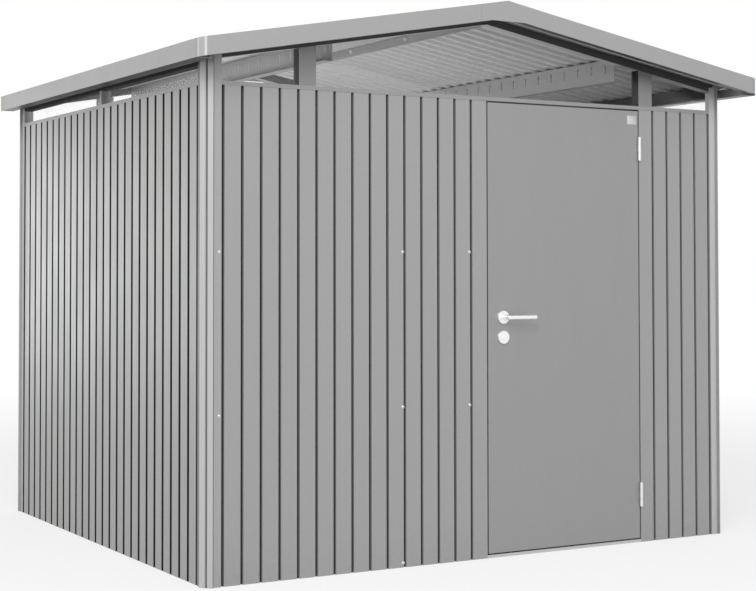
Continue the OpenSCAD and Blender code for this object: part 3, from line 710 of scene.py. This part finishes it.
class Palette:
    """All finishes of the shed, made once and shared by its pieces."""

    def __init__(self) -> None:
        """Makes every material."""
        wall = MetallicPaint("wall_silver", grey(168))
        self.walls = {side: wall.material(self.grooves(side), "_" + side.name.lower()) for side in Wall}
        # Painted shade on the faces that look down, under fascia, gutters and roof corners.
        soffit_shade = FacingPaintedLight(grey(20), shade=0.85)
        # Painted shade on the faces of the left front post that look left.
        left_face_shade = FacingPaintedLight(grey(120), shade=0.8, toward=(-1.0, 0.0, 0.0))
        seams = self.post_seam_shade()
        post = MetallicPaint("post_silver", grey(172))
        # The left front post has a painted highlight on its slanted faces.
        self.post = post.material((BendHighlight(grey(194), turns=2.0), left_face_shade, seams))
        # Paler copy of the post paint for the other three posts: painted light.
        lit_post = MetallicPaint("post_silver_lit_copy", grey(198))
        self.lit_post = lit_post.material((seams,))
        # Short posts: a darker copy of the silver paint with near-black sides, all painted shade.
        side_shades = [FacingPaintedLight(grey(50), shade=0.95, toward=(way, 0.0, 0.0)) for way in (-1.0, 1.0)]
        self.short_post = MetallicPaint("short_post_painted_shade", grey(146), dust=0.0).material(side_shades)
        self.rail = MetallicPaint("rail_silver", grey(160), dust=0.0).material()
        self.base = MetallicPaint("base_silver", grey(172), dust=0.4).material()
        self.threshold = MetallicPaint("threshold_silver", grey(205), dust=0.1).material()
        # Painted shade along the roof's ribs, and painted light on their faces that look front.
        rib_shade_lines = GrooveShadeLines(first=0.0, full=0.002, end=0.004, shade=0.3)
        rib_front_light = FacingPaintedLight(grey(212), shade=0.9, toward=(0.0, -1.0, 0.0))
        roof = MetallicPaint("roof_silver", grey(176), dust=0.0, metallic=0.12, roughness=0.64, coat=0.0)
        self.roof = roof.material((rib_front_light, rib_shade_lines))
        self.fascia = MetallicPaint("fascia_silver", grey(172), dust=0.0).material((soffit_shade,))
        bend = MetallicPaint("bend_silver", grey(172), dust=0.0, metallic=0.25, roughness=0.6, coat=0.0)
        self.bend = bend.material((BendHighlight(grey(205), turns=4.0), soffit_shade))
        # Gable beams are dark grey; their faces that look down get painted light.
        beam = MetallicPaint("beam_grey", grey(72), dust=0.0, metallic=0.2, roughness=0.55)
        self.beam = beam.material((FacingPaintedLight(grey(165), shade=0.9),))
        # Near-black eave beams: painted shade.
        shaded_eave_beam = MetallicPaint("eave_beam_painted_shade", grey(26), metallic=0.0, roughness=0.9, coat=0.0, dust=0.0)
        self.shaded_eave_beam = shaded_eave_beam.material()
        # Painted shade on the faces of the purlins and ridge beam that look down.
        purlin = MetallicPaint("purlin_silver", grey(154), dust=0.0, metallic=0.3, roughness=0.5)
        self.purlin = purlin.material((FacingPaintedLight(grey(110), shade=0.9),))
        self.door = MetallicPaint("door_silver", grey(160), wave=0.12, dust=0.15).material()
        self.clear = ClearSheet("clear_acrylic").material()
        self.lever = BrushedSteel("lever_steel", grey(250), roughness=0.3, metallic=0.75).material()
        self.hinge = BrushedSteel("hinge_zinc", grey(240), roughness=0.32).material()
        self.fixing = BrushedSteel("fixing_zinc", grey(212), roughness=0.35, scale=160.0).material()
        label = MetallicPaint("bare_plate_white", grey(226), metallic=0.3, dust=0.0, wave=0.05)
        self.label = label.material()

    @staticmethod
    def grooves(side: Wall) -> tuple[Mark, ...]:
        """Painted groove shade of one wall; the side walls' is darker and also lies on the edges of the flats
        beside each groove.

        Args:
            side: The wall.

        Returns:
            Where its grooves lie and how much painted shade they get.
        """
        faces = {Wall.FRONT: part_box("front_left_panels")[0].y,
                 Wall.BACK: -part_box("back_wall_panels")[1].y,
                 Wall.LEFT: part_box("left_wall_panels")[0].x,
                 Wall.RIGHT: -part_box("right_wall_panels")[1].x}
        if side in (Wall.FRONT, Wall.BACK):
            return (Grooves(side.value, faces[side], start=0.004, end=0.011, shade=0.9),)
        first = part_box("front_left_panels")[0].y + CORNER_LEG
        return (Grooves(side.value, faces[side], start=0.0002, end=0.0022, shade=0.95),
                GrooveShadeLines(first, full=0.0080, end=0.0110, shade=0.97, inward=side.value))

    @staticmethod
    def post_seam_shade() -> PostSeamShade:
        """Painted shade in the flutes and painted shadow beside the steps of the four corner posts."""
        low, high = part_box("front_left_post")[0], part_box("back_right_post")[1]
        return PostSeamShade(high.x, (high.y - low.y) / 2, (high.y + low.y) / 2)


class FrameDress:
    """Gives every carried-over node its finish."""

    def __init__(self, palette: Palette) -> None:
        """Sets which finish each node takes."""
        self.finish = {
            palette.walls[Wall.FRONT]: ("front_left_panels", "front_right_panel", "lock_jamb", "hinge_jamb"),
            palette.walls[Wall.LEFT]: ("left_wall_panels",),
            palette.walls[Wall.RIGHT]: ("right_wall_panels",),
            palette.walls[Wall.BACK]: ("back_wall_panels",),
            palette.post: ("front_left_post",),
            palette.lit_post: ("back_left_post", "front_right_post", "back_right_post"),
            palette.short_post: ("front_short_posts", "back_short_posts"),
            palette.base: ("front_base_rails", "left_base_rail", "right_base_rail", "back_base_rail"),
            palette.threshold: ("door_threshold",),
            palette.rail: ("front_top_rail", "left_top_rail", "right_top_rail", "back_top_rail",
                           "side_mullions"),
            palette.beam: ("front_gable_beam", "back_gable_beam"),
            palette.shaded_eave_beam: ("left_eave_beam", "right_eave_beam"),
            palette.purlin: ("ridge_beam", "purlins"),
            palette.roof: ("left_roof_sheet", "right_roof_sheet", "ridge_cap"),
            palette.fascia: ("front_fascia", "back_fascia", "left_gutter", "right_gutter", "apex_plates"),
            palette.bend: ("roof_corners",),
            palette.clear: ("front_clear_band", "back_clear_band", "left_clear_band", "right_clear_band"),
            palette.door: ("door_leaf",),
            palette.lever: ("lock_plates", "door_lever"),
            palette.hinge: ("door_hinge_halves", "frame_hinge_halves"),
        }

    def apply(self) -> None:
        """Assigns the finishes and reports any node without one."""
        left_over = set(frame["nodes"])
        for material, names in self.finish.items():
            for name in names:
                for slot in frame["nodes"][name].material_slots:
                    slot.material = material
                left_over.discard(name)
                LOG.info("%s takes %s", name, material.name)
        for name in sorted(left_over):
            LOG.warning("%s has no finish", name)


class MeshShop:
    """Collects lofted forms and turns them into one piece that rides on a body."""

    def __init__(self, name: str) -> None:
        """Starts an empty mesh for the piece of that name."""
        self.name = name
        self.mesh = bmesh.new()

    def loft(self, rings: Sequence[Ring], place: Matrix = Matrix.Identity(4)) -> None:
        """Skins a row of rings and closes both ends.

        Args:
            rings: Outlines with the same number of points, from the first end to the last.
            place: Where the form goes.
        """
        rows = [[self.mesh.verts.new(place @ point) for point in ring] for ring in rings]
        for lower, upper in zip(rows, rows[1:]):
            for i, corner in enumerate(lower):
                after = (i + 1) % len(lower)
                self.mesh.faces.new((corner, lower[after], upper[after], upper[i]))
        self.mesh.faces.new(list(reversed(rows[0])))
        self.mesh.faces.new(rows[-1])

    def piece(self, material: bpy.types.Material, body: Body,
              sharp: float = 35.0) -> bpy.types.Object:
        """Makes the object.

        Args:
            material: Finish of the piece.
            body: Body that carries it.
            sharp: Smallest angle in degrees that stays a crisp edge.

        Returns:
            The new object.
        """
        bmesh.ops.recalc_face_normals(self.mesh, faces=self.mesh.faces)
        data = bpy.data.meshes.new(self.name)
        self.mesh.to_mesh(data)
        self.mesh.free()
        data.polygons.foreach_set("use_smooth", [True] * len(data.polygons))
        data.set_sharp_from_angle(angle=math.radians(sharp))
        data.materials.append(material)
        made = bpy.data.objects.new(self.name, data)
        bpy.context.scene.collection.objects.link(made)
        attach(made, body.value)
        LOG.info("%s has %d faces and rides on %s", self.name, len(data.polygons), body.value)
        return made


def circle(radius: float, height: float, count: int = 24, lobes: int = 0, wave: float = 0.0) -> Ring:
    """Ring of points, round or with lobes like a star socket.

    Args:
        radius: Middle radius in metres.
        height: Height along the axis.
        count: Number of points.
        lobes: Number of lobes.
        wave: Share by which the lobes change the radius.

    Returns:
        The points.
    """
    angles = [math.tau * i / count for i in range(count)]
    reach = [radius * (1.0 + wave * math.cos(lobes * angle)) for angle in angles]
    return [Vector((r * math.cos(a), r * math.sin(a), height)) for r, a in zip(reach, angles)]


def facing(point: Vector, normal: Vector) -> Matrix:
    """Placement whose Z axis points along a normal.

    Args:
        point: Origin of the placement.
        normal: Direction of its Z axis.

    Returns:
        The matrix.
    """
    return Matrix.Translation(point) @ normal.to_track_quat("Z", "Y").to_matrix().to_4x4()


@dataclass(frozen=True)
class ScrewHead:
    """Domed screw head on a washer, with a star socket."""

    washer_r: float = 0.0072
    washer_t: float = 0.0012
    head_r: float = 0.0056
    head_h: float = 0.0034
    socket_r: float = 0.0021
    socket_depth: float = 0.0016
    lobes: int = 6
    lobe_wave: float = 0.14
    edge_share: float = 0.25
    dome_turn_deg: float = 68.0
    steps: int = 4

    def rings(self) -> list[Ring]:
        """Rings from the washer's foot over the dome into the socket."""
        edge = self.edge_share * self.washer_t
        rows = [circle(self.washer_r, 0.0), circle(self.washer_r, self.washer_t - edge),
                circle(self.washer_r - edge, self.washer_t), circle(self.head_r, self.washer_t)]
        for step in range(1, self.steps + 1):
            turn = math.radians(self.dome_turn_deg) * step / self.steps
            rows.append(circle(self.head_r * math.cos(turn), self.washer_t + self.head_h * math.sin(turn)))
        top = self.washer_t + self.head_h
        for level in (top, top - self.socket_depth):
            rows.append(circle(self.socket_r, level, lobes=self.lobes, wave=self.lobe_wave))
        return rows

    def drive(self, shop: MeshShop, point: Vector, normal: Vector) -> None:
        """Adds one head at a point, facing along a normal."""
        shop.loft(self.rings(), facing(point, normal))


@dataclass(frozen=True)
class WallScrews:
    """Screws beside the sheet seams of the front and back wall and on a flange of the left front post."""

    pitch: float = GROOVE_PITCH
    corner_leg: float = CORNER_LEG
    seam_side: float = 0.0095
    flange_side: float = 0.016
    flange_t: float = 0.002
    seam_heights: tuple[float, ...] = (0.018, 0.633, 1.247)
    jamb_heights: tuple[float, ...] = (0.627, 1.248)
    flange_heights: tuple[float, ...] = (0.633, 1.243)
    front_seam: int = 10
    jamb_seam: int = 14
    back_seams: tuple[int, ...] = (10, 20)
    head: ScrewHead = ScrewHead()

    def rows(self, side: Wall) -> list[tuple[float, float, tuple[float, ...]]]:
        """Distance from the wall's left end, height above its face and heights above ground of each row."""
        seam = self.corner_leg - self.seam_side
        if side is Wall.FRONT:
            return [(seam + self.front_seam * self.pitch, 0.0, self.seam_heights),
                    (seam + self.jamb_seam * self.pitch, 0.0, self.jamb_heights),
                    (self.corner_leg - self.flange_side, self.flange_t, self.flange_heights)]
        return [(seam + count * self.pitch, 0.0, self.seam_heights) for count in self.back_seams]

    def build(self, palette: Palette) -> None:
        """Makes one joined piece of screws for each of the two walls."""
        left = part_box("left_wall_panels")[0].x
        faces = {Wall.FRONT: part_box("front_left_panels")[0].y, Wall.BACK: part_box("back_wall_panels")[1].y}
        for side, face in faces.items():
            shop = MeshShop(side.name.lower() + "_wall_screws")
            for offset, proud, heights in self.rows(side):
                for height in heights:
                    point = side.along * (offset + left) - side.inward * proud + Vector((0.0, face, height))
                    self.head.drive(shop, point, -side.inward)
            shop.piece(palette.fixing, Body.SHED)


@dataclass(frozen=True)
class BarePlate:
    """Small plain plate in the upper corner of the door, on the hinge side."""

    width: float = 0.051
    height: float = 0.038
    thickness: float = 0.0012
    corner: float = 0.004
    corner_steps: int = 5
    bevel: float = 0.0004
    side_gap: float = 0.007
    top_gap: float = 0.021

    def outline(self, inset: float, level: float) -> Ring:
        """Rounded rectangle.

        Args:
            inset: Distance inside the plate's full outline.
            level: Height above the door.

        Returns:
            The outline's points.
        """
        points: Ring = []
        radius = self.corner - inset
        across, up = self.width / 2 - self.corner, self.height / 2 - self.corner
        for quarter, (sx, sy) in enumerate(((1, 1), (-1, 1), (-1, -1), (1, -1))):
            centre = Vector((sx * across, sy * up, level))
            for step in range(self.corner_steps + 1):
                angle = math.radians(90.0 * quarter + 90.0 * step / self.corner_steps)
                points.append(centre + Vector((radius * math.cos(angle), radius * math.sin(angle), 0.0)))
        return points

    def build(self, palette: Palette) -> None:
        """Makes the plate on the door's outer face."""
        low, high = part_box("door_leaf")
        centre = Vector((high.x - self.side_gap - self.width / 2, low.y,
                         high.z - self.top_gap - self.height / 2))
        across, up = Vector((1.0, 0.0, 0.0)), Vector((0.0, 0.0, 1.0))
        place = Matrix.Translation(centre) @ Matrix((across, up, across.cross(up))).transposed().to_4x4()
        shop = MeshShop("bare_door_plate")
        shop.loft([self.outline(0.0, 0.0), self.outline(0.0, self.thickness - self.bevel),
                   self.outline(self.bevel, self.thickness)], place)
        shop.piece(palette.label, Body.DOOR, 60.0)


@dataclass(frozen=True)
class KeyFaces:
    """Faces of the lock cylinder's core, each with a key slot."""

    radius: float = 0.0072
    lip: float = 0.0006
    slot_half: float = 0.0042
    slot_half_w: float = 0.0011
    slot_depth: float = 0.0005
    lip_wall: float = 0.6
    blunt_across: float = 0.5
    blunt_along: float = 0.8
    count: int = 32

    def slot_ring(self, level: float) -> Ring:
        """Outline of the key slot at a level above the core."""
        points: Ring = []
        for i in range(self.count):
            angle = math.tau * i / self.count
            c, s = math.cos(angle), math.sin(angle)
            x = self.slot_half_w * math.copysign(abs(c) ** self.blunt_across, c)
            y = self.slot_half * math.copysign(abs(s) ** self.blunt_along, s)
            points.append(Vector((x, y, level)))
        return points

    def build(self, palette: Palette) -> None:
        """Makes both faces, outside and inside."""
        low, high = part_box("lock_plates")
        x = (low.x + high.x) / 2
        z = low.z + (high.x - low.x) / 2
        shop = MeshShop("lock_key_faces")
        rings = [circle(self.radius, 0.0, self.count),
                 circle(self.radius, self.lip * self.lip_wall, self.count),
                 circle(self.radius - self.lip, self.lip, self.count), self.slot_ring(self.lip),
                 self.slot_ring(self.lip - self.slot_depth)]
        for y, outward in ((low.y, -1.0), (high.y, 1.0)):
            shop.loft(rings, facing(Vector((x, y, z)), Vector((0.0, outward, 0.0))))
        shop.piece(palette.lever, Body.DOOR)


@dataclass(frozen=True)
class HingeCaps:
    """Domed ends of the hinge barrels."""

    barrel_d: float = 0.014
    hinge_h: float = 0.100
    dome: float = 0.003
    dome_turn_deg: float = 80.0
    steps: int = 5

    def build(self, palette: Palette) -> None:
        """Makes a cap on each end of both barrels."""
        low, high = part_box("frame_hinge_halves")
        swing = next(joint for joint in frame["joints"] if joint["child"] == Body.DOOR.value)
        x, y, _ = swing["pos_m"]
        turns = [math.radians(self.dome_turn_deg) * step / self.steps for step in range(self.steps + 1)]
        rings = [circle(self.barrel_d / 2 * math.cos(turn), self.dome * math.sin(turn)) for turn in turns]
        shop = MeshShop("hinge_barrel_caps")
        for base in (low.z, high.z - self.hinge_h):
            shop.loft(rings, facing(Vector((x, y, base)), Vector((0.0, 0.0, -1.0))))
            shop.loft(rings, facing(Vector((x, y, base + self.hinge_h)), Vector((0.0, 0.0, 1.0))))
        shop.piece(palette.hinge, Body.SHED)


@dataclass(frozen=True)
class RoofScrews:
    """Screws with sealing washers along the ridge cap and the eaves."""

    pitch: float = 0.240
    cap_side: float = 0.075
    eave_inset: float = 0.022
    slope_deg: float = 10.0
    head: ScrewHead = ScrewHead(washer_r=0.0085, washer_t=0.0022)

    def build(self, palette: Palette) -> None:
        """Makes the rows on both slopes."""
        cap_low, cap_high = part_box("ridge_cap")
        sheet_low, sheet_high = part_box("right_roof_sheet")
        tilt = math.radians(self.slope_deg)
        slope = math.tan(tilt)
        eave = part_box("right_wall_panels")[1].x - self.eave_inset
        count = int((cap_high.y - cap_low.y) // self.pitch)
        start = (cap_low.y + cap_high.y - count * self.pitch) / 2
        shop = MeshShop("roof_screws")
        rows = ((self.cap_side, cap_high.z - self.cap_side * slope),
                (eave, sheet_high.z - (eave - sheet_low.x) * slope))
        for reach, height in rows:
            for side in (-1.0, 1.0):
                normal = Vector((side * math.sin(tilt), 0.0, math.cos(tilt)))
                for i in range(count + 1):
                    self.head.drive(shop, Vector((side * reach, start + i * self.pitch, height)), normal)
        shop.piece(palette.fixing, Body.SHED)


@dataclass(frozen=True)
class RidgeBolts:
    """Hexagon bolts through the sides of the ridge beam."""

    across: float = 0.013
    head_h: float = 0.0053
    washer_r: float = 0.012
    washer_t: float = 0.0016
    end_gap: float = 0.07
    rise: float = 0.016
    flat_share: float = 0.85
    crown_share: float = 0.86
    stations: int = 5

    def build(self, palette: Palette) -> None:
        """Makes bolt heads in pairs along both sides of the beam."""
        low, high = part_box("ridge_beam")
        shop = MeshShop("ridge_bolts")
        hexagon = self.across / math.sqrt(3.0)
        rings = [circle(self.washer_r, 0.0), circle(self.washer_r, self.washer_t),
                 self.hexagon(hexagon, self.washer_t),
                 self.hexagon(hexagon, self.washer_t + self.head_h * self.flat_share),
                 circle(hexagon * self.crown_share, self.washer_t + self.head_h)]
        for station in range(self.stations):
            y = low.y + self.end_gap + (high.y - low.y - 2 * self.end_gap) * station / (self.stations - 1)
            for x, way in ((low.x, -1.0), (high.x, 1.0)):
                shop.loft(rings, facing(Vector((x, y, low.z + self.rise)), Vector((way, 0.0, 0.0))))
        shop.piece(palette.fixing, Body.SHED)

    @staticmethod
    def hexagon(radius: float, height: float, count: int = 24) -> Ring:
        """Hexagon drawn with as many points as a circle.

        Args:
            radius: Distance from the middle to a corner.
            height: Height along the axis.
            count: Number of points, a multiple of six.

        Returns:
            The points.
        """
        points: Ring = []
        for i in range(count):
            angle = math.tau * i / count
            local = (angle % (math.pi / 3)) - math.pi / 6
            reach = radius * math.cos(math.pi / 6) / math.cos(local)
            points.append(Vector((reach * math.cos(angle), reach * math.sin(angle), height)))
        return points


@dataclass(frozen=True)
class PhotoCamera:
    """Camera at the photograph's viewpoint, in the photograph's frame."""

    width_px: float = 756.0
    height_px: float = 591.0
    focal_px: float = 1583.5
    axis_px: tuple[float, float] = (310.4, 222.5)
    eye: tuple[float, float, float] = (-3.7633, -6.3598, 1.1900)
    turn_deg: float = 28.81
    pitch_deg: float = 1.584
    sensor_mm: float = 36.0

    def build(self) -> None:
        """Makes the camera and sets it as the scene's."""
        data = bpy.data.cameras.new("photo_camera")
        data.sensor_fit = "HORIZONTAL"
        data.sensor_width = self.sensor_mm
        data.lens = self.focal_px * self.sensor_mm / self.width_px
        data.shift_x = (self.width_px / 2 - self.axis_px[0]) / self.width_px
        data.shift_y = (self.axis_px[1] - self.height_px / 2) / self.width_px
        camera = bpy.data.objects.new("photo_camera", data)
        camera.location = self.eye
        camera.rotation_euler = (math.radians(90.0 + self.pitch_deg), 0.0, math.radians(-self.turn_deg))
        bpy.context.scene.collection.objects.link(camera)
        bpy.context.scene.camera = camera


@dataclass(frozen=True)
class Lamp:
    """Soft rectangular lamp that the camera doesn't see."""

    name: str
    place: tuple[float, float, float]
    target: tuple[float, float, float]
    size: tuple[float, float]
    power: float

    def build(self) -> None:
        """Hangs the lamp and turns it towards its target."""
        data = bpy.data.lights.new(self.name, "AREA")
        data.shape = "RECTANGLE"
        data.size, data.size_y = self.size
        data.energy = self.power
        lamp = bpy.data.objects.new(self.name, data)
        lamp.location = self.place
        direction = Vector(self.target) - Vector(self.place)
        lamp.rotation_euler = direction.to_track_quat("-Z", "Y").to_euler()
        lamp.visible_camera = False
        bpy.context.scene.collection.objects.link(lamp)


@dataclass(frozen=True)
class Studio:
    """Pale floor, white surroundings and soft lamps."""

    floor_half: float = 30.0
    floor_drop: float = 0.0006
    floor_shown: Colour = (0.93, 0.93, 0.93)
    floor_glow: float = 0.62
    fade_near: float = 2.5
    fade_far: float = 9.0
    floor_bounce: Colour = (0.32, 0.32, 0.32)
    surround: float = 0.62
    lamps: tuple[Lamp, ...] = (
        Lamp("key_lamp", (-4.5, -6.5, 6.0), (0.0, 0.0, 1.0), (4.0, 4.0), 420.0),
        Lamp("room_lamp", (-0.12, 0.05, 1.45), (-0.12, 0.05, 2.0), (1.8, 2.0), 13.5),
        Lamp("bay_lamp", (-1.02, 0.05, 1.80), (-0.70, 0.05, 2.05), (1.9, 0.2), 4.0),
        Lamp("back_lamp", (-2.6, 10.5, 1.3), (-1.3, 1.0, 1.0), (2.4, 2.4), 92.0))

    def seen(self, sketch: NodeSketch) -> bpy.types.NodeSocket:
        """Mask of the rays that see the background: straight, mirrored or through glass."""
        rays = sketch.add("ShaderNodeLightPath")
        mirrored = sketch.math("MAXIMUM", rays.outputs["Is Glossy Ray"], rays.outputs["Is Transmission Ray"])
        return sketch.math("MAXIMUM", rays.outputs["Is Camera Ray"], mirrored)

    def floor(self) -> None:
        """Makes the floor, which shows almost white and keeps the shed's shadow."""
        material = bpy.data.materials.new("pale_floor")
        material.use_nodes = True
        sketch = NodeSketch(material.node_tree)
        material.node_tree.nodes.clear()
        seen = self.seen(sketch)
        colour = sketch.blend("MIX", seen, (*self.floor_bounce, 1.0), (*self.floor_shown, 1.0))
        lit = sketch.add("ShaderNodeBsdfDiffuse")
        sketch.join(colour, lit.inputs["Color"])
        glow = sketch.add("ShaderNodeEmission")
        mixed = sketch.add("ShaderNodeMixShader")
        reach = sketch.add("ShaderNodeVectorMath", operation="LENGTH")
        sketch.join(sketch.add("ShaderNodeTexCoord").outputs["Object"], reach.inputs[0])
        fade = sketch.span(reach.outputs["Value"], self.fade_near, self.fade_far, self.floor_glow, 1.0)
        sketch.join(sketch.math("MULTIPLY", seen, fade), mixed.inputs[0])
        sketch.join(lit.outputs[0], mixed.inputs[1])
        sketch.join(glow.outputs[0], mixed.inputs[2])
        output = sketch.add("ShaderNodeOutputMaterial")
        sketch.join(mixed.outputs[0], output.inputs["Surface"])
        half = self.floor_half
        data = bpy.data.meshes.new("pale_floor")
        corners = [(-half, -half, 0), (half, -half, 0), (half, half, 0), (-half, half, 0)]
        data.from_pydata(corners, [], [(0, 1, 2, 3)])
        data.materials.append(material)
        plane = bpy.data.objects.new("pale_floor", data)
        plane.location.z = -self.floor_drop
        bpy.context.scene.collection.objects.link(plane)

    def world(self) -> None:
        """Makes the white surroundings."""
        world = bpy.data.worlds.new("white_surround")
        world.use_nodes = True
        bpy.context.scene.world = world
        sketch = NodeSketch(world.node_tree)
        world.node_tree.nodes.clear()
        background = sketch.add("ShaderNodeBackground")
        strength = sketch.span(self.seen(sketch), 0.0, 1.0, self.surround, 1.0)
        sketch.join(strength, background.inputs["Strength"])
        background.inputs["Color"].default_value = (1.0, 1.0, 1.0, 1.0)
        output = sketch.add("ShaderNodeOutputWorld")
        sketch.join(background.outputs[0], output.inputs["Surface"])

    def build(self) -> None:
        """Makes floor, surroundings and lamps, and sets the plain view transform."""
        self.floor()
        self.world()
        for lamp in self.lamps:
            lamp.build()
        bpy.context.scene.view_settings.view_transform = "Standard"


def main() -> None:
    """Dresses the shed, adds its fixings and sets up the studio."""
    logging.basicConfig(level=logging.INFO, format="%(name)s: %(message)s")
    palette = Palette()
    FrameDress(palette).apply()
    for assembly in (WallScrews(), BarePlate(), KeyFaces(), HingeCaps(), RoofScrews(), RidgeBolts()):
        assembly.build(palette)
    PhotoCamera().build()
    Studio().build()


if __name__ == "__main__":
    main()
